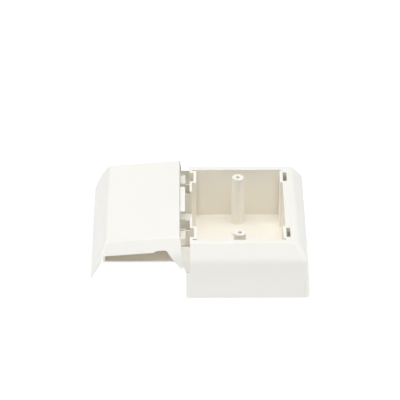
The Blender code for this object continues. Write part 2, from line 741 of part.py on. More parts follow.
def groove_centre(number):
    """Centre in XZ of one of the splice holder's grooves, counted from the left."""
    left = slide_rest_x(-SPOOL_X) - HOLDER_WIDTH / 2
    return left + (number + 0.5) * HOLDER_WIDTH / HOLDER_GROOVES, holder_top() - HOLDER_GROOVE_RADIUS * 0.6


def make_splice_holder(material, tape_material, slide):
    """The grooved holder for splice sleeves, and the tape that sticks it to the tray."""
    tape_z = TRAY_BOTTOM + TRAY_FLOOR + GAP
    base_z = tape_z + TAPE + GAP
    middle = slide_rest_x(-SPOOL_X)
    half = HOLDER_WIDTH / 2
    top = holder_top()
    outline = [(middle - half, base_z), (middle + half, base_z), (middle + half, top)]
    for number in reversed(range(HOLDER_GROOVES)):
        outline += arc(groove_centre(number), HOLDER_GROOVE_RADIUS, 40, -220, 8)
    outline.append((middle - half, top))
    length = HOLDER_LENGTH / 2
    add_object("splice_holder", prism(outline, "Y", -length, length), material, slide)
    half -= TAPE_MARGIN
    length -= TAPE_MARGIN
    add_object("holder_tape", block(
        (middle - half, middle + half), (-length, length), (tape_z, tape_z + TAPE),
    ), tape_material, slide)


def make_splice_sleeves(material, slide):
    """Four splice protection sleeves in the holder's middle grooves."""
    for order, number in enumerate(SLEEVE_GROOVES, start=1):
        outline = circle(groove_centre(number), SLEEVE_RADIUS, 12)
        sleeve = prism(outline, "Y", -SLEEVE_LENGTH / 2, SLEEVE_LENGTH / 2)
        add_object(f"splice_sleeve_{order}", sleeve, material, slide)


def make_fibre_clips(material, slide):
    """Four low hooked clips that hold fibre down near the tray's corners."""
    base_z = TRAY_BOTTOM + TRAY_FLOOR + GAP
    half = CLIP_SIZE / 2
    hook = [(-half, 0), (half, 0), (half, CLIP_WALL), (-half + CLIP_WALL, CLIP_WALL)]
    hook += [(-half + CLIP_WALL, CLIP_HEIGHT - CLIP_WALL), (half, CLIP_HEIGHT - CLIP_WALL)]
    hook += [(half, CLIP_HEIGHT), (-half, CLIP_HEIGHT)]
    for column, x, y in CLIP_PLACES:
        for row, side in (("front", -1), ("back", 1)):
            outline = [(slide_rest_x(-x) + across, base_z + above) for across, above in hook]
            middle = side * y
            add_object(f"fibre_clip_{column}_{row}", prism(
                outline, "Y", middle - CLIP_LENGTH / 2, middle + CLIP_LENGTH / 2,
            ), material, slide)


def make_floor_plugs(material):
    """Two round plugs with a thin flange, which close the unused fixing holes."""
    for name, side in (("floor_plug_front", -1), ("floor_plug_back", 1)):
        centre = (DATUM_X + POST_X, side * PLUG_Y)
        stem = PLUG_HOLE_RADIUS - GAP
        seat = FLOOR + GAP
        levels = [(stem, GAP), (stem, seat), (PLUG_RADIUS, seat + NUDGE)]
        levels += [(PLUG_RADIUS, seat + PLUG_FLANGE / 2), (PLUG_RADIUS - EDGE_RADIUS, seat + PLUG_FLANGE)]
        add_object(name, loft([at_height(circle(centre, radius, 28), z) for radius, z in levels]), material)


def make_foam_strips(material):
    """Two strips of foam tape let into the underside."""
    for name, side in (("foam_strip_left", -1), ("foam_strip_right", 1)):
        add_object(name, foam_block(side, 0.0, 0.0), material)


def add_frame(name, location, parent=None, turn=0.0):
    """An empty on a joint's axis."""
    frame = bpy.data.objects.new(name, None)
    bpy.context.scene.collection.objects.link(frame)
    frame.parent = parent
    frame.location = location
    frame.rotation_euler = (0.0, -math.radians(turn), 0.0)
    return frame


def main():
    """Build the whole object."""
    clear_scene()
    ivory = make_material("ivory_abs", (0.86, 0.85, 0.79), 0.45)
    white = make_material("natural_nylon", (0.80, 0.79, 0.74), 0.5)
    steel = make_material("zinc_steel", (0.62, 0.62, 0.60), 0.35, 1.0)
    foam = make_material("white_foam", (0.75, 0.75, 0.73), 0.9)
    clear = make_material("shrink_sleeve", (0.72, 0.74, 0.74), 0.25)
    make_box(ivory)
    slide = add_frame("tray_slide", (0.0, 0.0, 0.0))
    make_tray(ivory, slide)
    make_pins(white, slide)
    hinge = add_frame("cover_hinge", (slide_rest_x(-PIN_X), 0.0, PIN_HEIGHT), slide, REST_OPENING)
    make_cover(ivory, hinge)
    make_slack_guide("slack_guide_front", -1, white, slide)
    make_slack_guide("slack_guide_back", 1, white, slide)
    make_screw("guide_screw_front", -1, steel, slide)
    make_screw("guide_screw_back", 1, steel, slide)
    make_splice_holder(white, foam, slide)
    make_splice_sleeves(clear, slide)
    make_fibre_clips(white, slide)
    make_floor_plugs(ivory)
    make_foam_strips(foam)


main()
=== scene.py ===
"""Looks of an offset fibre outlet box: its rounded mouldings, small fittings, finishes and studio.

The frame holds every solid at its size and place. Each sub-assembly here is a class that makes the
fine meshes around that frame, gives them a finish and lets them ride on their body.

X runs from the bridge cover to the deep box, Y along the raceway and Z up. Lengths are in metres.
"""

import json
import logging
import math
from collections.abc import Callable, Sequence
from dataclasses import dataclass, field
from enum import Enum

import bmesh
import bpy
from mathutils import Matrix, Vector
from mathutils.geometry import intersect_point_line


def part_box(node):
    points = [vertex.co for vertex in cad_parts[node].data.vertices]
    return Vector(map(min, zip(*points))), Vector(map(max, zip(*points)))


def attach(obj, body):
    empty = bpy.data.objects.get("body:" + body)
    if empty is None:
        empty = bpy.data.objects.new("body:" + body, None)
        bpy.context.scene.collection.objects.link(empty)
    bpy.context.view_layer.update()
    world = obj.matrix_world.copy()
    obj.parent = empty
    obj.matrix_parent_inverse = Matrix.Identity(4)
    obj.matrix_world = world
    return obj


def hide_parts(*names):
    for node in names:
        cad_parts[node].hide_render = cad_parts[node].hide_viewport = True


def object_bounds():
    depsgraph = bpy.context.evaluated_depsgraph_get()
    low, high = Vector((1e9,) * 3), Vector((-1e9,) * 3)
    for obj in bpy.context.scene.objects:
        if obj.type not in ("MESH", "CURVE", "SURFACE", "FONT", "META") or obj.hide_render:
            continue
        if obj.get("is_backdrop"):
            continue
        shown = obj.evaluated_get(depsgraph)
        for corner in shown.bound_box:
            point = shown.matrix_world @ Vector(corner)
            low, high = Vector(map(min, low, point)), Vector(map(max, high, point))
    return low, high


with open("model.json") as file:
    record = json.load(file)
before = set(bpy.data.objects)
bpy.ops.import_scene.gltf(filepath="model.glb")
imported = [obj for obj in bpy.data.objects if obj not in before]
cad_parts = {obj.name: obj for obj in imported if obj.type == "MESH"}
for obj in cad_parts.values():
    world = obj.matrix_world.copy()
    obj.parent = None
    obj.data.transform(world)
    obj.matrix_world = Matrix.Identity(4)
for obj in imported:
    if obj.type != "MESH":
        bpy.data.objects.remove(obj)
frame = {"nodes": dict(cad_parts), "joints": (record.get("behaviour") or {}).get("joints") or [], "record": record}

MM = 0.001
Pair = tuple[float, float]
Point = tuple[float, float, float]
Colour = tuple[float, float, float]

DAYLIGHT: Colour = (0.93, 0.975, 1.05)  # the studio's light, a little cooler than white
WELD = 0.01 * MM  # corners closer than this are one corner
FLAT_TURN = 1.0  # faces that turn by fewer degrees than this are one flat face
BEVEL_WELD = 0.004 * MM  # corners closer than this, left by rounding, are one corner
SLIVER = 0.002 * MM  # edges shorter than this, left by rounding, are removed
NEARLY_PARALLEL = 0.9  # least cosine between two edges that run side by side
FACES_DOWN = -0.99  # greatest Z of the normal of a face that looks down

log = logging.getLogger("outlet_box")


class Body(Enum):
    """The rigid bodies that pieces ride on."""

    BOX = "box"
    TRAY = "tray"
    COVER = "cover"


class Slot(Enum):
    """The material slots that the record names."""

    IVORY = "ivory_abs"
    NYLON = "natural_nylon"
    ZINC = "zinc_steel"
    FOAM = "white_foam"
    SLEEVE = "shrink_sleeve"


class Side(Enum):
    """Front and back, with the sign of Y on that side."""

    FRONT = -1
    BACK = 1

    @property
    def word(self) -> str:
        """The side's name as the nodes spell it."""
        return self.name.lower()


class Axis(Enum):
    """The axis that a turned solid is turned about."""

    Y = "Y"
    Z = "Z"


class Carving(Enum):
    """What a helper solid does to the solid that it meets, in the Boolean modifier's words."""

    JOIN = "UNION"
    CUT = "DIFFERENCE"


# ---------------------------------------------------------------- finishes


class NodeSketch:
    """A short way to wire up one material's nodes."""

    def __init__(self, name: str) -> None:
        """Start a material with an empty Principled shader.

        Args:
            name: The material's name.
        """
        self.material = bpy.data.materials.new(name)
        self.material.use_nodes = True
        self.tree = self.material.node_tree
        self.shader = self.tree.nodes["Principled BSDF"]
        place = self.tree.nodes.new("ShaderNodeTexCoord")
        self.place = place.outputs["Object"]

    def link(self, source: bpy.types.NodeSocket, target: bpy.types.NodeSocket) -> None:
        """Join an output to an input."""
        self.tree.links.new(source, target)

    def noise(self, scale: float, detail: float = 2.0, roughness: float = 0.5) -> bpy.types.NodeSocket:
        """Add a noise pattern in the object's own place.

        Args:
            scale: Cells to the metre.
            detail: Octaves of finer noise.
            roughness: Weight of the finer octaves.

        Returns:
            The pattern's factor output.
        """
        node = self.tree.nodes.new("ShaderNodeTexNoise")
        node.inputs["Scale"].default_value = scale
        node.inputs["Detail"].default_value = detail
        node.inputs["Roughness"].default_value = roughness
        self.link(self.place, node.inputs["Vector"])
        return node.outputs["Fac"]

    def cells(self, scale: float) -> bpy.types.NodeSocket:
        """Add a cell pattern in the object's own place.

        Args:
            scale: Cells to the metre.

        Returns:
            The output that holds the distance to the nearest cell's middle.
        """
        node = self.tree.nodes.new("ShaderNodeTexVoronoi")
        node.inputs["Scale"].default_value = scale
        self.link(self.place, node.inputs["Vector"])
        return node.outputs["Distance"]

    def spread(self, source: bpy.types.NodeSocket, low: float, high: float,
               span: Pair = (0.0, 1.0)) -> bpy.types.NodeSocket:
        """Map a factor onto a range.

        Args:
            source: The factor to map.
            low: Value at the start of the span.
            high: Value at the end of the span.
            span: The stretch of the factor that is used.

        Returns:
            The mapped output.
        """
        node = self.tree.nodes.new("ShaderNodeMapRange")
        for name, value in zip(("From Min", "From Max", "To Min", "To Max"), (*span, low, high)):
            node.inputs[name].default_value = value
        self.link(source, node.inputs["Value"])
        return node.outputs["Result"]

    def blend(self, factor: bpy.types.NodeSocket, first: Colour | bpy.types.NodeSocket,
              second: Colour) -> bpy.types.NodeSocket:
        """Mix two colours by a factor.

        Args:
            factor: Share of the second colour.
            first: A colour, or the output that holds one.
            second: The other colour.

        Returns:
            The mixed colour's output.
        """
        node = self.tree.nodes.new("ShaderNodeMix")
        node.data_type = "RGBA"
        self.link(factor, node.inputs["Factor"])
        if isinstance(first, tuple):
            node.inputs["A"].default_value = (*first, 1.0)
        else:
            self.link(first, node.inputs["A"])
        node.inputs["B"].default_value = (*second, 1.0)
        return node.outputs["Result"]

    def bump(self, height: bpy.types.NodeSocket, depth: float,
             under: bpy.types.NodeSocket | None = None) -> bpy.types.NodeSocket:
        """Add a bump.

        Args:
            height: The pattern that lifts the surface.
            depth: Its full height in metres.
            under: A bump that this one lies on.

        Returns:
            The bumped normal's output.
        """
        node = self.tree.nodes.new("ShaderNodeBump")
        node.inputs["Distance"].default_value = depth
        self.link(height, node.inputs["Height"])
        if under is not None:
            self.link(under, node.inputs["Normal"])
        return node.outputs["Normal"]

    def edge(self, low: float, high: float) -> bpy.types.NodeSocket:
        """Add a mask that rises on convex edges, by pointiness, where a painted edge highlight goes."""
        node = self.tree.nodes.new("ShaderNodeNewGeometry")
        return self.spread(node.outputs["Pointiness"], 0.0, 1.0, (low, high))

    def set(self, name: str, value: float | Colour) -> None:
        """Set one plain value on the shader's own socket.

        Args:
            name: The socket's name.
            value: A number or a colour.
        """
        if isinstance(value, tuple):
            value = (*value, 1.0)
        self.shader.inputs[name].default_value = value


@dataclass(frozen=True)
class MouldedPlastic:
    """Injection-moulded plastic: spark-eroded grain, faint flow clouds, dust and a painted highlight on convex
    edges.
    """

    name: str
    colour: Colour
    deep_colour: Colour
    roughness: float = 0.5
    grain: float = 2600.0
    grain_depth: float = 0.02 * MM
    cloud: float = 22.0
    wave: float = 45.0
    dust: float = 60.0
    polish: float = 140.0
    speck: float = 900.0
    speck_shade: float = 0.82
    # How much paler the painted edge highlight makes convex edges, and over which span of pointiness it rises.
    edge_highlight_gain: float = 1.04
    edge_highlight_span: Pair = (0.515, 0.58)
    ior: float = 1.53

    def material(self) -> bpy.types.Material:
        """Make the material.

        Returns:
            The finished material.
        """
        sketch = NodeSketch(self.name)
        clouds = sketch.noise(self.cloud, 4.0, 0.55)
        tone = sketch.blend(sketch.spread(clouds, 0.0, 1.0, (0.3, 0.7)), self.colour, self.deep_colour)
        specks = sketch.spread(sketch.cells(self.speck), 0.35, 0.0, (0.02, 0.09))
        dust = sketch.noise(self.dust, 3.0)
        sparse = sketch.tree.nodes.new("ShaderNodeMath")
        sparse.operation = "MULTIPLY"
        sketch.link(specks, sparse.inputs[0])
        sketch.link(sketch.spread(dust, 0.0, 1.0, (0.58, 0.72)), sparse.inputs[1])
        dark = tuple(value * self.speck_shade for value in self.deep_colour)
        tone = sketch.blend(sparse.outputs["Value"], tone, dark)
        # Convex edges are painted paler: a painted highlight along every sharp edge, not wear.
        pale = tuple(min(1.0, value * self.edge_highlight_gain) for value in self.colour)
        tone = sketch.blend(sketch.edge(*self.edge_highlight_span), tone, pale)
        sketch.link(tone, sketch.shader.inputs["Base Color"])
        polish = sketch.noise(self.polish, 3.0)
        sketch.link(
            sketch.spread(polish, self.roughness - 0.06, self.roughness + 0.07, (0.3, 0.7)),
            sketch.shader.inputs["Roughness"],
        )
        waves = sketch.bump(sketch.noise(self.wave, 2.0), self.grain_depth * 2.5)
        fine = sketch.bump(sketch.noise(self.grain, 3.0, 0.6), self.grain_depth, waves)
        sketch.link(fine, sketch.shader.inputs["Normal"])
        sketch.set("IOR", self.ior)
        return sketch.material


@dataclass(frozen=True)
class ZincPlate:
    """Bright zinc plate with a fine grain and a faint yellow bloom."""

    name: str = "bright_zinc"
    colour: Colour = (0.63, 0.64, 0.65)
    bloom: Colour = (0.62, 0.58, 0.47)
    bloom_scale: float = 700.0
    grain: float = 4000.0
    grain_depth: float = 0.01 * MM

    def material(self) -> bpy.types.Material:
        """Make the material.

        Returns:
            The finished material.
        """
        sketch = NodeSketch(self.name)
        patch = sketch.spread(sketch.noise(self.bloom_scale, 3.0), 0.0, 1.0, (0.4, 0.75))
        sketch.link(sketch.blend(patch, self.colour, self.bloom), sketch.shader.inputs["Base Color"])
        sketch.link(sketch.spread(sketch.noise(1500.0), 0.22, 0.42), sketch.shader.inputs["Roughness"])
        fine = sketch.bump(sketch.noise(self.grain, 2.0), self.grain_depth)
        sketch.link(fine, sketch.shader.inputs["Normal"])
        sketch.set("Metallic", 1.0)
        return sketch.material


@dataclass(frozen=True)
class FoamTape:
    """Closed-cell foam tape: open cut bubbles over a soft matte body."""

    name: str = "closed_cell_foam"
    colour: Colour = (0.82, 0.82, 0.80)
    bubble: Colour = (0.60, 0.60, 0.58)
    bubble_scale: float = 2600.0
    bubble_depth: float = 0.12 * MM

    def material(self) -> bpy.types.Material:
        """Make the material.

        Returns:
            The finished material.
        """
        sketch = NodeSketch(self.name)
        bubbles = sketch.cells(self.bubble_scale)
        tone = sketch.blend(sketch.spread(bubbles, 1.0, 0.0, (0.05, 0.45)), self.colour, self.bubble)
        sketch.link(tone, sketch.shader.inputs["Base Color"])
        sketch.link(sketch.spread(sketch.noise(300.0), 0.82, 0.98), sketch.shader.inputs["Roughness"])
        sketch.link(sketch.bump(bubbles, self.bubble_depth), sketch.shader.inputs["Normal"])
        return sketch.material


@dataclass(frozen=True)
class ShrinkTube:
    """Clear heat-shrink tube, a little milky and rippled where it has drawn down."""

    name: str = "clear_shrink_tube"
    colour: Colour = (0.86, 0.88, 0.88)
    milk_colour: Colour = (0.74, 0.77, 0.78)
    ripple: float = 1100.0
    ripple_depth: float = 0.04 * MM
    clearness: float = 0.55
    ior: float = 1.49

    def material(self) -> bpy.types.Material:
        """Make the material.

        Returns:
            The finished material.
        """
        sketch = NodeSketch(self.name)
        milk = sketch.spread(sketch.noise(500.0, 3.0), 0.0, 1.0, (0.35, 0.7))
        tone = sketch.blend(milk, self.colour, self.milk_colour)
        sketch.link(tone, sketch.shader.inputs["Base Color"])
        sketch.link(sketch.spread(sketch.noise(900.0), 0.12, 0.3), sketch.shader.inputs["Roughness"])
        ripples = sketch.bump(sketch.noise(self.ripple, 2.0), self.ripple_depth)
        sketch.link(ripples, sketch.shader.inputs["Normal"])
        sketch.set("Transmission Weight", self.clearness)
        sketch.set("IOR", self.ior)
        return sketch.material


@dataclass(frozen=True)
class PaleFloor:
    """Plain pale studio floor with a barely seen paper tooth."""

    name: str = "studio_paper"
    colour: Colour = (0.42, 0.42, 0.42)
    glow_colour: Colour = DAYLIGHT
    glow: float = 0.75
    tooth_shade: float = 0.995

    def material(self) -> bpy.types.Material:
        """Make the material.

        Returns:
            The finished material.
        """
        sketch = NodeSketch(self.name)
        tooth = sketch.noise(500.0, 3.0)
        deep = tuple(value * self.tooth_shade for value in self.colour)
        sketch.link(sketch.blend(tooth, self.colour, deep), sketch.shader.inputs["Base Color"])
        sketch.set("Roughness", 0.95)
        sketch.set("Specular IOR Level", 0.0)
        sketch.set("Emission Color", self.glow_colour)
        sketch.set("Emission Strength", self.glow)
        return sketch.material


IVORY = MouldedPlastic("ivory_abs_grained", (0.957, 0.902, 0.79), (0.947, 0.89, 0.772), 0.5)
NYLON = MouldedPlastic(
    "natural_nylon_satin", (0.91, 0.885, 0.815), (0.89, 0.86, 0.785), 0.42, 1800.0, 0.012 * MM, 40.0
)


@dataclass
class Palette:
    """Every finish's material, made once and shared by the pieces."""

    made: dict[Slot, bpy.types.Material] = field(default_factory=dict)

    def mix_all(self) -> None:
        """Make one material for each slot."""
        finishes = {
            Slot.IVORY: IVORY,
            Slot.NYLON: NYLON,
            Slot.ZINC: ZincPlate(),
            Slot.FOAM: FoamTape(),
            Slot.SLEEVE: ShrinkTube(),
        }
        for slot, finish in finishes.items():
            self.made[slot] = finish.material()


# ---------------------------------------------------------------- mesh work


def arc(centre: Pair, radius: float, start: float, end: float, steps: int) -> list[Pair]:
    """Points along an arc, both ends included.

    Args:
        centre: The arc's centre.
        radius: Its radius.
        start: First angle in degrees.
        end: Last angle in degrees.
        steps: Number of chords.

    Returns:
        The points in order.
    """
    turn = (end - start) / steps
    angles = [math.radians(start + turn * step) for step in range(steps + 1)]
    return [(centre[0] + radius * math.cos(a), centre[1] + radius * math.sin(a)) for a in angles]


def loft(rings: Sequence[Sequence[Point]]) -> bmesh.types.BMesh:
    """A closed solid through rings of points that all have the same count.

    Args:
        rings: The rings, from one end to the other.

    Returns:
        The solid.
    """
    mesh = bmesh.new()
    made = [[mesh.verts.new(point) for point in ring] for ring in rings]
    for low, high in zip(made, made[1:]):
        for index, corner in enumerate(low):
            following = (index + 1) % len(low)
            mesh.faces.new((corner, low[following], high[following], high[index]))
    mesh.faces.new(made[0])
    mesh.faces.new(made[-1])
    bmesh.ops.recalc_face_normals(mesh, faces=mesh.faces[:])
    return mesh


def lathe(profile: Sequence[Pair], foot: Point, steps: int = 48,
          axis: Axis = Axis.Z) -> bmesh.types.BMesh:
    """A turned solid with closed ends.

    Args:
        profile: Radius and height pairs from one end to the other.
        foot: Where the axis starts.
        steps: Points once round.
        axis: The axis it is turned about.

    Returns:
        The solid.
    """
    base = Vector(foot)
    rings = []
    for radius, height in profile:
        ring = arc((0.0, 0.0), radius, 0.0, 360.0, steps)[:-1]
        if axis is Axis.Z:
            rings.append([tuple(base + Vector((x, y, height))) for x, y in ring])
        else:
            rings.append([tuple(base + Vector((x, height, y))) for x, y in ring])
    return loft(rings)


def slab(x: Pair, y: Pair, z: Pair) -> bmesh.types.BMesh:
    """A rectangular helper solid from three pairs of limits."""
    corners = [(x[0], y[0]), (x[1], y[0]), (x[1], y[1]), (x[0], y[1])]
    return loft([[(*corner, height) for corner in corners] for height in z])


def frame_solid(node: str) -> bmesh.types.BMesh:
    """A copy of a frame node's solid.

    Args:
        node: The node's name.

    Returns:
        The solid, welded, with each flat face whole again.
    """
    mesh = bmesh.new()
    mesh.from_mesh(frame["nodes"][node].data)
    return mend(mesh)


def mend(mesh: bmesh.types.BMesh) -> bmesh.types.BMesh:
    """Weld doubled corners and join the triangles of each flat face.

    Args:
        mesh: The solid to mend.

    Returns:
        The same solid.
    """
    bmesh.ops.triangulate(mesh, faces=mesh.faces[:])
    bmesh.ops.remove_doubles(mesh, verts=mesh.verts[:], dist=WELD)
    bmesh.ops.dissolve_limit(
        mesh, angle_limit=math.radians(FLAT_TURN), use_dissolve_boundaries=False,
        verts=mesh.verts[:], edges=mesh.edges[:],
    )
    return mesh


def has_room(edge: bmesh.types.BMEdge, width: float) -> bool:
    """Tell whether the faces beside an edge are wide enough to round it.

    Args:
        edge: The edge to round.
        width: The least distance to a parallel edge of the same face.

    Returns:
        False where a parallel edge lies closer than that.
    """
    ends = [vertex.co for vertex in edge.verts]
    run = (ends[1] - ends[0]).normalized()
    for face in edge.link_faces:
        for other in face.edges:
            far_ends = [vertex.co for vertex in other.verts]
            far_run = (far_ends[1] - far_ends[0]).normalized()
            joined = set(edge.verts) & set(other.verts)
            if joined or abs(run.dot(far_run)) < NEARLY_PARALLEL:
                continue
            for points, line in ((ends, far_ends), (far_ends, ends)):
                for point in points:
                    foot, share = intersect_point_line(point, *line)
                    if 0.0 <= share <= 1.0 and (point - foot).length < width:
                        return False
    return True


def round_edges(mesh: bmesh.types.BMesh, radius: float, segments: int = 3, angle: float = 28.0) -> None:
    """Give every sharp outward edge a small radius.

    Args:
        mesh: The solid to soften.
        radius: How far the rounding reaches from the edge.
        segments: Faces across it.
        angle: Edges that turn by more than this many degrees are sharp.
    """
    limit = math.radians(angle)
    sharp = [edge for edge in mesh.edges if edge.is_convex and edge.calc_face_angle(0.0) > limit]
    sharp = [edge for edge in sharp if has_room(edge, 2 * radius)]
    bmesh.ops.bevel(
        mesh, geom=sharp, offset=radius, offset_type="OFFSET", segments=segments, profile=0.5,
        affect="EDGES", clamp_overlap=False,
    )
    bmesh.ops.remove_doubles(mesh, verts=mesh.verts[:], dist=BEVEL_WELD)
    bmesh.ops.dissolve_degenerate(mesh, edges=mesh.edges[:], dist=SLIVER)


def plain_object(name: str, mesh: bmesh.types.BMesh) -> bpy.types.Object:
    """Turn a bmesh into an object in the scene.

    Args:
        name: The object's name.
        mesh: The solid, which is used up.

    Returns:
        The object.
    """
    data = bpy.data.meshes.new(name)
    mesh.to_mesh(data)
    mesh.free()
    item = bpy.data.objects.new(name, data)
    bpy.context.scene.collection.objects.link(item)
    return item


def carve(mesh: bmesh.types.BMesh, tools: Sequence[tuple[Carving, bmesh.types.BMesh]]) -> bmesh.types.BMesh:
    """Join solids to a solid, or cut them out of it.

    Args:
        mesh: The solid to work on.
        tools: Pairs of what to do and the helper solid that does it.

    Returns:
        The finished solid, mended.
    """
    work = plain_object("work", mesh)
    helpers = []
    for operation, tool in tools:
        helper = plain_object("helper", tool)
        helpers.append(helper)
        modifier = work.modifiers.new("carve", "BOOLEAN")
        modifier.object = helper
        modifier.operation = operation.value
        modifier.solver = "EXACT"
    graph = bpy.context.evaluated_depsgraph_get()
    result = bmesh.new()
    done = work.evaluated_get(graph).to_mesh()
    result.from_mesh(done)
    for item in (work, *helpers):
        data = item.data
        bpy.data.objects.remove(item)
        bpy.data.meshes.remove(data)
    return mend(result)


def level_normals(data: bpy.types.Mesh, angle: float) -> None:
    """Shade round stretches smoothly and keep every broad flat face flat.

    Args:
        data: The mesh to shade.
        angle: Faces that turn by more than this many degrees meet at a hard edge.
    """
    limit = math.cos(math.radians(angle))
    around: list[list[bpy.types.MeshPolygon]] = [[] for _ in data.vertices]
    for face in data.polygons:
        for vertex in face.vertices:
            around[vertex].append(face)
    normals = []
    for face in data.polygons:
        for vertex in face.vertices:
            blend = Vector()
            for other in around[vertex]:
                if other.normal.dot(face.normal) > limit:
                    blend += other.normal * (other.area / MM**2) ** 2
            normals.append(blend.normalized() if blend.length else face.normal)
    data.normals_split_custom_set(normals)


@dataclass
class Piece:
    """One finished piece: what it is called, what it stands for and how it is dressed."""

    name: str
    nodes: tuple[str, ...]
    body: Body
    slot: Slot
    smooth_angle: float = 42.0

    def finish(self, mesh: bmesh.types.BMesh, palette: Palette) -> bpy.types.Object:
        """Make the piece's object, ride it on its body and report it.

        Args:
            mesh: The piece's solid.
            palette: The made materials.

        Returns:
            The piece's object.
        """
        bmesh.ops.recalc_face_normals(mesh, faces=mesh.faces[:])
        item = plain_object(self.name, mesh)
        item.data.shade_smooth()
        level_normals(item.data, self.smooth_angle)
        item.data.materials.append(palette.made[self.slot])
        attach(item, self.body.value)
        if self.nodes:
            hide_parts(*self.nodes)
        log.info("%s rides on %s, %d faces", self.name, self.body.value, len(item.data.polygons))
        return item


# ---------------------------------------------------------------- sub-assemblies


@dataclass
class Corners:
    """A node's lowest and highest corners."""

    low: Vector
    high: Vector

    @classmethod
    def of(cls, node: str) -> "Corners":
        """Read a node's corners from the frame."""
        low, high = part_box(node)
        return cls(Vector(low), Vector(high))

    @property
    def middle(self) -> Vector:
        """The middle of the box."""
        return (self.low + self.high) / 2

    @property
    def size(self) -> Vector:
        """The box's extents."""
        return self.high - self.low


def mount_place(name: str) -> Vector:
    """A mount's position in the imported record."""
    return next(Vector(mount["pos_m"]) for mount in frame["record"]["mounts"] if mount["name"] == name)


@dataclass
class DeepBox:
    """The deep box moulding: rounded shell, stiffened hollow, filleted posts and ejector marks."""

    edge: float = 0.28 * MM
    floor: float = 2.2 * MM
    inner_depth: float = 55.0 * MM
    skirt_depth: float = 65.7 * MM
    inner_right: float = 38.2 * MM
    skirt_right: float = 53.1 * MM
    rib: float = 1.2 * MM
    rib_rise: Pair = (1.5 * MM, 27.0 * MM)
    rib_places: tuple[float, ...] = (-28.0 * MM, -4.0 * MM, 20.0 * MM)
    side_places: tuple[float, ...] = (-36.0 * MM, -12.0 * MM, 12.0 * MM, 36.0 * MM)
    post_pitch: float = 83.3 * MM
    post_foot: float = 5.2 * MM
    fillet: float = 1.3 * MM
    fillet_steps: int = 5
    foot_steps: int = 56
    mark_radius: float = 3.0 * MM
    mark_depth: float = 0.08 * MM
    mark_steps: int = 40
    mark_places: tuple[Pair, ...] = (
        (-25.0 * MM, 14.0 * MM),
        (25.0 * MM, 14.0 * MM),
        (25.0 * MM, 44.0 * MM),
    )

    def stiffeners(self, middle: float) -> list[bmesh.types.BMesh]:
        """Thin ribs across the hollow between the cavity's walls and the outer skirt.

        Args:
            middle: X of the line through the posts.

        Returns:
            The ribs' solids.
        """
        ribs = []
        half = self.rib / 2
        for side in Side:
            ends = (side.value * (self.inner_depth - self.rib), side.value * self.skirt_depth)
            depth = (min(ends), max(ends))
            for offset in self.rib_places:
                along = (middle + offset - half, middle + offset + half)
                ribs.append(slab(along, depth, self.rib_rise))
        across = (middle + self.inner_right - self.rib, middle + self.skirt_right)
        for place in self.side_places:
            ribs.append(slab(across, (place - half, place + half), self.rib_rise))
        return ribs

    def post_fillets(self, middle: float) -> list[bmesh.types.BMesh]:
        """Curved feet where the two posts stand on the floor.

        Args:
            middle: X of the line through the posts.

        Returns:
            The feet's solids.
        """
        profile = [(self.post_foot + self.fillet, self.floor / 2)]
        centre = (self.post_foot + self.fillet, self.floor + self.fillet)
        profile += arc(centre, self.fillet, -90.0, -180.0, self.fillet_steps)
        profile.append((self.post_foot - self.fillet, centre[1]))
        places = [(middle, side.value * self.post_pitch / 2, 0.0) for side in Side]
        return [lathe(profile, place, self.foot_steps) for place in places]

    def ejector_marks(self, middle: float) -> list[bmesh.types.BMesh]:
        """Shallow round marks that the ejector pins leave on the cavity's floor.

        Args:
            middle: X of the line through the posts.

        Returns:
            The helper solids that cut the marks.
        """
        profile = [(self.mark_radius, self.floor - self.mark_depth), (self.mark_radius, 2 * self.floor)]
        marks = []
        for side in Side:
            for x, y in self.mark_places:
                marks.append(lathe(profile, (middle + x, side.value * y, 0.0), self.mark_steps))
        return marks

    def build(self, palette: Palette) -> None:
        """Make the box's piece.

        Args:
            palette: The made materials.
        """
        middle = mount_place("underside").x
        tools = [(Carving.JOIN, solid) for solid in self.stiffeners(middle) + self.post_fillets(middle)]
        tools += [(Carving.CUT, solid) for solid in self.ejector_marks(middle)]
        mesh = carve(frame_solid("device_box"), tools)
        round_edges(mesh, self.edge)
        Piece("deep_box_moulding", ("device_box",), Body.BOX, Slot.IVORY).finish(mesh, palette)


@dataclass
class FloorPlugs:
    """The two round plugs in the box's floor, each with a domed flange and a coin slot."""

    steps: int = 64
    flange: float = 0.6 * MM
    slot_half: float = 0.45 * MM
    slot_length: float = 3.0 * MM
    slot_depth: float = 0.3 * MM
    stem_share: float = 0.833
    dome: float = 0.02 * MM
    dome_shares: Pair = (0.6, 0.2)

    def plug(self, corners: Corners) -> bmesh.types.BMesh:
        """One plug, filling its node's box.

        Args:
            corners: The node's corners.

        Returns:
            The plug's solid.
        """
        radius = corners.size.x / 2
        top = corners.size.z
        stem = radius * self.stem_share
        seat = top - self.flange
        soft = self.flange / 2
        profile = [(stem - soft, 0.0), (stem, soft), (stem, seat), (radius - soft / 2, seat)]
        profile += arc((radius - soft, seat + soft), soft, -60.0, 75.0, 6)
        wide, narrow = self.dome_shares
        profile += [(radius * wide, top - self.dome), (radius * narrow, top)]
        body = lathe(profile, (corners.middle.x, corners.middle.y, corners.low.z), self.steps)
        high = corners.high.z
        slot = slab(
            (corners.middle.x - self.slot_length, corners.middle.x + self.slot_length),
            (corners.middle.y - self.slot_half, corners.middle.y + self.slot_half),
            (high - self.slot_depth, high + self.flange),
        )
        return carve(body, [(Carving.CUT, slot)])

    def build(self, palette: Palette) -> None:
        """Make both plugs.

        Args:
            palette: The made materials.
        """
        for side in Side:
            node = f"floor_plug_{side.word}"
            mesh = self.plug(Corners.of(node))
            Piece(f"hole_plug_{side.word}", (node,), Body.BOX, Slot.IVORY).finish(mesh, palette)


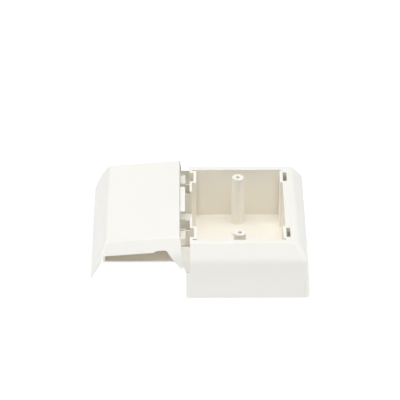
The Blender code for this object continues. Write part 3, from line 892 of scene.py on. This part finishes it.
@dataclass
class FoamPads:
    """Knife-cut foam tape: two strips under the box and one pad under the splice holder."""

    step: float = 1.6 * MM
    waver: float = 0.09 * MM
    waver_turns: Pair = (1.7, 1.3)
    waver_start: float = 0.8
    bulge: float = 0.12 * MM
    levels: int = 4

    def strip(self, corners: Corners) -> bmesh.types.BMesh:
        """One strip with wavering cut edges and slightly crushed sides.

        Args:
            corners: The node's corners.

        Returns:
            The strip's solid.
        """
        half_x = corners.size.x / 2 - self.waver
        half_y = corners.size.y / 2 - self.waver
        count = max(4, round(2 * half_y / self.step))
        rows = [-half_y + 2 * half_y * number / count for number in range(count + 1)]
        right_turn, left_turn = self.waver_turns
        right = [(half_x + self.waver * math.sin(y / self.step * right_turn), y) for y in rows]
        left = []
        for y in reversed(rows):
            wave = math.sin(y / self.step * left_turn + self.waver_start)
            left.append((-half_x - self.waver * wave, y))
        outline = right + left
        rings = []
        for level in range(self.levels + 1):
            share = level / self.levels
            pull = self.bulge * (2 * share - 1) ** 2
            height = corners.low.z + share * corners.size.z
            squeeze = 1 - pull / half_y
            ring = []
            for x, y in outline:
                across = corners.middle.x + x - math.copysign(pull, x)
                ring.append((across, corners.middle.y + y * squeeze, height))
            rings.append(ring)
        return loft(rings)

    def build(self, palette: Palette) -> None:
        """Make the strips and the pad.

        Args:
            palette: The made materials.
        """
        places = (
            ("foam_strip_left", "left_foam_tape", Body.BOX),
            ("foam_strip_right", "right_foam_tape", Body.BOX),
            ("holder_tape", "holder_foam_pad", Body.TRAY),
        )
        for node, name, body in places:
            mesh = self.strip(Corners.of(node))
            Piece(name, (node,), body, Slot.FOAM).finish(mesh, palette)


def tray_underside() -> float:
    """Find the height of the tray floor's underside, the tray's largest face that looks down.

    Returns:
        The height.
    """
    solid = frame_solid("bridge_tray")
    downward = [face for face in solid.faces if face.normal.z < FACES_DOWN]
    height = max(downward, key=lambda face: face.calc_area()).calc_center_median().z
    solid.free()
    return height


@dataclass
class BridgeTray:
    """The sliding tray: comb floor, outer wall and hinge knuckles, with ejector marks underneath."""

    edge: float = 0.28 * MM
    mark_radius: float = 2.5 * MM
    mark_depth: float = 0.2 * MM
    mark_steps: int = 32
    mark_places: tuple[Pair, ...] = ((0.22, 0.42), (0.22, 0.12), (0.72, 0.42), (0.72, 0.3))

    def build(self, palette: Palette) -> None:
        """Make the tray's piece.

        Args:
            palette: The made materials.
        """
        corners = Corners.of("bridge_tray")
        underside = tray_underside()
        tools = []
        for side in Side:
            for across, along in self.mark_places:
                foot = (
                    corners.low.x + across * corners.size.x,
                    side.value * along * corners.size.y,
                    underside - self.mark_depth,
                )
                profile = [(self.mark_radius, 0.0), (self.mark_radius, 2 * self.mark_depth)]
                tools.append((Carving.CUT, lathe(profile, foot, self.mark_steps)))
        mesh = carve(frame_solid("bridge_tray"), tools)
        round_edges(mesh, self.edge)
        Piece("bridge_tray_moulding", ("bridge_tray",), Body.TRAY, Slot.IVORY).finish(mesh, palette)


@dataclass
class HingePins:
    """Two nylon hinge pins with rounded ends."""

    steps: int = 40
    soft: float = 0.35 * MM

    def build(self, palette: Palette) -> None:
        """Make both pins.

        Args:
            palette: The made materials.
        """
        for side in Side:
            node = f"hinge_pin_{side.word}"
            corners = Corners.of(node)
            radius = corners.size.x / 2
            length = corners.size.y
            profile = arc((radius - self.soft, self.soft), self.soft, -90.0, 0.0, 4)
            profile += arc((radius - self.soft, length - self.soft), self.soft, 0.0, 90.0, 4)
            foot = (corners.middle.x, corners.low.y, corners.middle.z)
            mesh = lathe(profile, foot, self.steps, Axis.Y)
            Piece(f"pivot_pin_{side.word}", (node,), Body.TRAY, Slot.NYLON).finish(mesh, palette)


def cover_pivot() -> Point:
    """The middle of the cover's hinge."""
    return next(tuple(joint["pos_m"]) for joint in frame["joints"] if joint["name"] == "cover_hinge")


@dataclass
class BridgeCover:
    """The hinged cover: rounded shell with two stiffening ribs and a gate mark inside its top."""

    edge: float = 0.42 * MM
    rest_opening: float = 4.5
    inner_top: float = 44.45 * MM
    rib: float = 1.0 * MM
    rib_height: float = 1.4 * MM
    rib_reach: Pair = (12.0 * MM, 56.0 * MM)
    rib_places: tuple[float, ...] = (-26.0 * MM, 26.0 * MM)
    cross_place: float = 44.0 * MM
    gate_radius: float = 2.2 * MM
    gate_place: float = 24.0 * MM
    gate_steps: int = 32

    def swing(self, mesh: bmesh.types.BMesh) -> bmesh.types.BMesh:
        """Turn a solid from the closed cover's place to its place at rest.

        Args:
            mesh: A solid drawn with the cover closed.

        Returns:
            The same solid, turned about the hinge.
        """
        centre = Vector(cover_pivot())
        angle = math.radians(self.rest_opening)
        for vertex in mesh.verts:
            across, above = vertex.co.x - centre.x, vertex.co.z - centre.z
            vertex.co.x = centre.x + across * math.cos(angle) - above * math.sin(angle)
            vertex.co.z = centre.z + across * math.sin(angle) + above * math.cos(angle)
        return mesh

    def build(self, palette: Palette) -> None:
        """Make the cover's piece.

        Args:
            palette: The made materials.
        """
        pivot = cover_pivot()[0]
        top = self.inner_top + self.rib / 2
        low = self.inner_top - self.rib_height
        reach = (pivot + self.rib_reach[0], pivot + self.rib_reach[1])
        half = self.rib / 2
        tools = []
        for place in self.rib_places:
            tools.append((Carving.JOIN, self.swing(slab(reach, (place - half, place + half), (low, top)))))
        cross = (pivot + self.cross_place - half, pivot + self.cross_place + half)
        ends = (self.rib_places[0], self.rib_places[-1])
        tools.append((Carving.JOIN, self.swing(slab(cross, ends, (low, top)))))
        gate_profile = [(self.gate_radius, low), (self.gate_radius, top)]
        gate = lathe(gate_profile, (pivot + self.gate_place, 0.0, 0.0), self.gate_steps)
        tools.append((Carving.JOIN, self.swing(gate)))
        mesh = carve(frame_solid("bridge_cover"), tools)
        round_edges(mesh, self.edge)
        Piece("bridge_cover_moulding", ("bridge_cover",), Body.COVER, Slot.IVORY).finish(mesh, palette)


@dataclass
class SlackGuides:
    """The two half-round guides that hold slack fibre in wide bends."""

    edge: float = 0.3 * MM
    sharp: float = 35.0

    def build(self, palette: Palette) -> None:
        """Make both guides.

        Args:
            palette: The made materials.
        """
        for side in Side:
            node = f"slack_guide_{side.word}"
            mesh = frame_solid(node)
            round_edges(mesh, self.edge, angle=self.sharp)
            Piece(f"fibre_bend_guide_{side.word}", (node,), Body.TRAY, Slot.NYLON).finish(mesh, palette)


@dataclass
class GuideScrews:
    """Pan-head screws with a ringed shank for the thread, and a tapered cross recess."""

    steps: int = 40
    shank: float = 1.4 * MM
    core: float = 1.12 * MM
    pitch: float = 0.5 * MM
    head: float = 1.6 * MM
    recess_depth: float = 0.75 * MM
    recess_length: float = 1.55 * MM
    recess_half: float = 0.32 * MM
    recess_taper: float = 0.45
    tip_share: float = 0.55
    tip_rise: float = 0.8
    thread: tuple[float, float, float] = (0.35, 0.5, 0.85)
    seat_share: float = 0.97
    soft: float = 0.1 * MM
    brim_share: float = 0.35
    dome_share: float = 0.65
    dome_steps: int = 6
    smooth_angle: float = 30.0

    def profile(self, radius: float, height: float) -> list[Pair]:
        """Radius and height pairs of the thread and the head.

        Args:
            radius: The head's radius.
            height: The whole screw's length.

        Returns:
            The pairs from the tip up.
        """
        seat = height - self.head
        points = [(self.core * self.tip_share, 0.0), (self.core, self.pitch * self.tip_rise)]
        level = self.pitch
        while level + self.pitch < seat:
            crest, fall, root = (level + self.pitch * share for share in self.thread)
            points += [(self.core, level), (self.shank, crest), (self.shank, fall), (self.core, root)]
            level += self.pitch
        brim = seat + self.head * self.brim_share
        dome = self.head * self.dome_share
        points += [(self.core, seat), (radius * self.seat_share, seat)]
        points += [(radius, seat + self.soft), (radius, brim)]
        for step in range(1, self.dome_steps + 1):
            turn = math.radians(90.0 / self.dome_steps * step)
            across = radius * (self.brim_share + self.dome_share * math.cos(turn))
            points.append((across, brim + dome * math.sin(turn)))
        return points

    def recess_arm(self, corners: Corners, crosswise: bool) -> bmesh.types.BMesh:
        """One arm of the cross recess, tapered towards its floor.

        Args:
            corners: The node's corners.
            crosswise: True for the arm along Y.

        Returns:
            The helper solid that cuts the arm.
        """
        rings = []
        for share, height in ((self.recess_taper, -self.recess_depth), (1.0, 0.0), (1.0, self.recess_depth)):
            x = self.recess_length * share
            y = self.recess_half * (0.5 + share / 2)
            if crosswise:
                x, y = y, x
            ring = [(-x, -y), (x, -y), (x, y), (-x, y)]
            rings.append([
                (corners.middle.x + a, corners.middle.y + b, corners.high.z + height) for a, b in ring
            ])
        return loft(rings)

    def build(self, palette: Palette) -> None:
        """Make both screws.

        Args:
            palette: The made materials.
        """
        for side in Side:
            node = f"guide_screw_{side.word}"
            corners = Corners.of(node)
            points = self.profile(corners.size.x / 2, corners.size.z)
            body = lathe(points, (corners.middle.x, corners.middle.y, corners.low.z), self.steps)
            tools = [(Carving.CUT, self.recess_arm(corners, crosswise)) for crosswise in (False, True)]
            mesh = carve(body, tools)
            screw = Piece(f"pan_head_screw_{side.word}", (node,), Body.TRAY, Slot.ZINC, self.smooth_angle)
            screw.finish(mesh, palette)


@dataclass
class SpliceHolder:
    """The grooved holder, its sprung fingers softened along every edge."""

    edge: float = 0.16 * MM
    segments: int = 2
    sharp: float = 40.0

    def build(self, palette: Palette) -> None:
        """Make the holder.

        Args:
            palette: The made materials.
        """
        mesh = frame_solid("splice_holder")
        round_edges(mesh, self.edge, self.segments, self.sharp)
        Piece("splice_comb", ("splice_holder",), Body.TRAY, Slot.NYLON).finish(mesh, palette)


@dataclass
class SpliceSleeves:
    """Heat-shrunk splice sleeves: a clear tube round a steel rod and an inner fibre tube."""

    steps: int = 36
    wall: float = 0.22 * MM
    rod: float = 0.34 * MM
    inner_tube: float = 0.26 * MM
    pinch: float = 0.12 * MM
    pinch_reach: float = 0.9 * MM
    ripple: float = 0.02 * MM
    ripple_turns: float = 40.0
    stations: int = 24
    core_steps: int = 24
    rod_shy: float = 1.2 * MM
    tube_shy: float = 0.8 * MM
    tube_gap: float = 0.08 * MM
    count: int = 4

    def tube(self, corners: Corners) -> bmesh.types.BMesh:
        """The outer tube, drawn in over its ends, hollow from end to end.

        Args:
            corners: The node's corners.

        Returns:
            The tube's solid.
        """
        radius = corners.size.x / 2
        length = corners.size.y
        outer = []
        for step in range(self.stations + 1):
            share = step / self.stations
            ends = min(share, 1 - share) * length
            draw = self.pinch * math.exp(-ends / self.pinch_reach)
            ripple = self.ripple * math.sin(share * self.ripple_turns)
            outer.append((radius - self.ripple - draw + ripple, share * length))
        bore = [(value - self.wall, height) for value, height in reversed(outer)]
        foot = Vector((corners.middle.x, corners.low.y, corners.middle.z))
        mesh = bmesh.new()
        rings = []
        for size, height in outer + bore:
            ring = arc((0.0, 0.0), size, 0.0, 360.0, self.steps)[:-1]
            rings.append([mesh.verts.new(foot + Vector((x, height, z))) for x, z in ring])
        for low, high in zip(rings, rings[1:] + rings[:1]):
            for index, corner in enumerate(low):
                following = (index + 1) % len(low)
                mesh.faces.new((corner, low[following], high[following], high[index]))
        return mesh

    def core(self, corners: Corners, radius: float, drop: float, shy: float) -> bmesh.types.BMesh:
        """A round rod along the tube.

        Args:
            corners: The node's corners.
            radius: The rod's radius.
            drop: How far its axis lies below the tube's.
            shy: How far it stops short of each end.

        Returns:
            The rod's solid.
        """
        soft = radius / 3
        length = corners.size.y - 2 * shy
        profile = arc((radius - soft, soft), soft, -90.0, 0.0, 3)
        profile += arc((radius - soft, length - soft), soft, 0.0, 90.0, 3)
        foot = (corners.middle.x, corners.low.y + shy, corners.middle.z - drop)
        return lathe(profile, foot, self.core_steps, Axis.Y)

    def build(self, palette: Palette) -> None:
        """Make the sleeves with their rods and inner tubes.

        Args:
            palette: The made materials.
        """
        for number in range(1, self.count + 1):
            node = f"splice_sleeve_{number}"
            corners = Corners.of(node)
            tube = self.tube(corners)
            Piece(f"shrink_tube_{number}", (node,), Body.TRAY, Slot.SLEEVE).finish(tube, palette)
            rod = self.core(corners, self.rod, self.rod, self.rod_shy)
            Piece(f"sleeve_rod_{number}", (), Body.TRAY, Slot.ZINC).finish(rod, palette)
            rise = -self.inner_tube - self.tube_gap
            inner = self.core(corners, self.inner_tube, rise, self.tube_shy)
            Piece(f"fibre_tube_{number}", (), Body.TRAY, Slot.NYLON).finish(inner, palette)


@dataclass
class FibreClips:
    """Four hooked clips at the tray's corners."""

    edge: float = 0.35 * MM

    def build(self, palette: Palette) -> None:
        """Make the four clips.

        Args:
            palette: The made materials.
        """
        for column in ("outer", "inner"):
            for side in Side:
                node = f"fibre_clip_{column}_{side.word}"
                mesh = frame_solid(node)
                round_edges(mesh, self.edge)
                name = f"hook_clip_{column}_{side.word}"
                Piece(name, (node,), Body.TRAY, Slot.NYLON).finish(mesh, palette)


# ---------------------------------------------------------------- studio


@dataclass
class SoftLight:
    """One large soft light aimed at the object."""

    name: str
    place: Point
    size: float
    power: float
    colour: Colour = DAYLIGHT

    def build(self, aim: Vector) -> None:
        """Hang the light and turn it towards the object.

        Args:
            aim: The point that it faces.
        """
        data = bpy.data.lights.new(self.name, "AREA")
        data.shape = "SQUARE"
        data.size = self.size
        data.energy = self.power
        data.color = self.colour
        lamp = bpy.data.objects.new(self.name, data)
        lamp.location = self.place
        lamp.rotation_euler = (aim - Vector(self.place)).to_track_quat("-Z", "Y").to_euler()
        bpy.context.scene.collection.objects.link(lamp)


@dataclass
class Studio:
    """Pale floor, soft lights, evenly lit surroundings and the camera."""

    floor_half: float = 2.5
    floor_cells: int = 6
    floor_flat: float = 0.95
    floor_lip: float = 0.05
    view_reach: float = 20.0
    camera_place: Point = (-12.11 * MM, -1723.4 * MM, 1126.3 * MM)
    camera_tilt: float = 58.0
    camera_turn: float = -0.408
    lens: float = 227.74
    surround: float = 0.1
    lights: tuple[SoftLight, ...] = (
        SoftLight("overhead_softbox", (-0.2, 0.1, 1.5), 1.6, 13.0),
        SoftLight("front_softbox", (0.1, -0.8, 1.6), 1.2, 8.2),
        SoftLight("left_softbox", (-1.4, -0.4, 1.2), 1.2, 10.5),
        SoftLight("right_softbox", (1.4, -0.2, 1.3), 1.2, 12.5),
    )

    def floor(self) -> None:
        """Lay the floor with its edges turned up a little, far outside the view."""
        mesh = bmesh.new()
        cells = self.floor_cells
        bmesh.ops.create_grid(mesh, x_segments=cells, y_segments=cells, size=self.floor_half)
        for vertex in mesh.verts:
            if max(abs(vertex.co.x), abs(vertex.co.y)) > self.floor_half * self.floor_flat:
                vertex.co.z = self.floor_lip
        sheet = plain_object("studio_floor", mesh)
        sheet.data.materials.append(PaleFloor().material())
        sheet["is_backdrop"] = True

    def surroundings(self) -> None:
        """Fill the world with even daylight and show plain display colours."""
        world = bpy.data.worlds.new("white_surround")
        world.use_nodes = True
        back = world.node_tree.nodes["Background"]
        back.inputs["Color"].default_value = (*DAYLIGHT, 1.0)
        back.inputs["Strength"].default_value = self.surround
        bpy.context.scene.world = world
        bpy.context.scene.view_settings.view_transform = "Standard"

    def camera(self) -> None:
        """Set up the long-lens camera that looks down at the object's front."""
        data = bpy.data.cameras.new("long_lens")
        data.lens = self.lens
        data.clip_end = self.view_reach
        camera = bpy.data.objects.new("long_lens", data)
        camera.location = self.camera_place
        camera.rotation_euler = (math.radians(self.camera_tilt), 0.0, math.radians(self.camera_turn))
        bpy.context.scene.collection.objects.link(camera)
        bpy.context.scene.camera = camera

    def build(self, aim: Vector) -> None:
        """Set up the whole studio.

        Args:
            aim: The point that the lights face.
        """
        self.camera()
        self.floor()
        self.surroundings()
        for light in self.lights:
            light.build(aim)


def corners_as_lists(bounds: Sequence[Sequence[float]]) -> list[list[float]]:
    """Two corners as plain lists of numbers."""
    return [[float(value) for value in corner] for corner in bounds]


def main() -> None:
    """Build the studio and every sub-assembly."""
    logging.basicConfig(level=logging.INFO, format="%(name)s: %(message)s")
    solid_bounds = corners_as_lists(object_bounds())
    aim = (Vector(solid_bounds[0]) + Vector(solid_bounds[1])) / 2
    Studio().build(aim)
    palette = Palette()
    palette.mix_all()
    makers: Sequence[Callable[[Palette], None]] = (
        DeepBox().build,
        FloorPlugs().build,
        FoamPads().build,
        BridgeTray().build,
        HingePins().build,
        BridgeCover().build,
        SlackGuides().build,
        GuideScrews().build,
        SpliceHolder().build,
        SpliceSleeves().build,
        FibreClips().build,
    )
    for make in makers:
        make(palette)


if __name__ == "__main__":
    main()
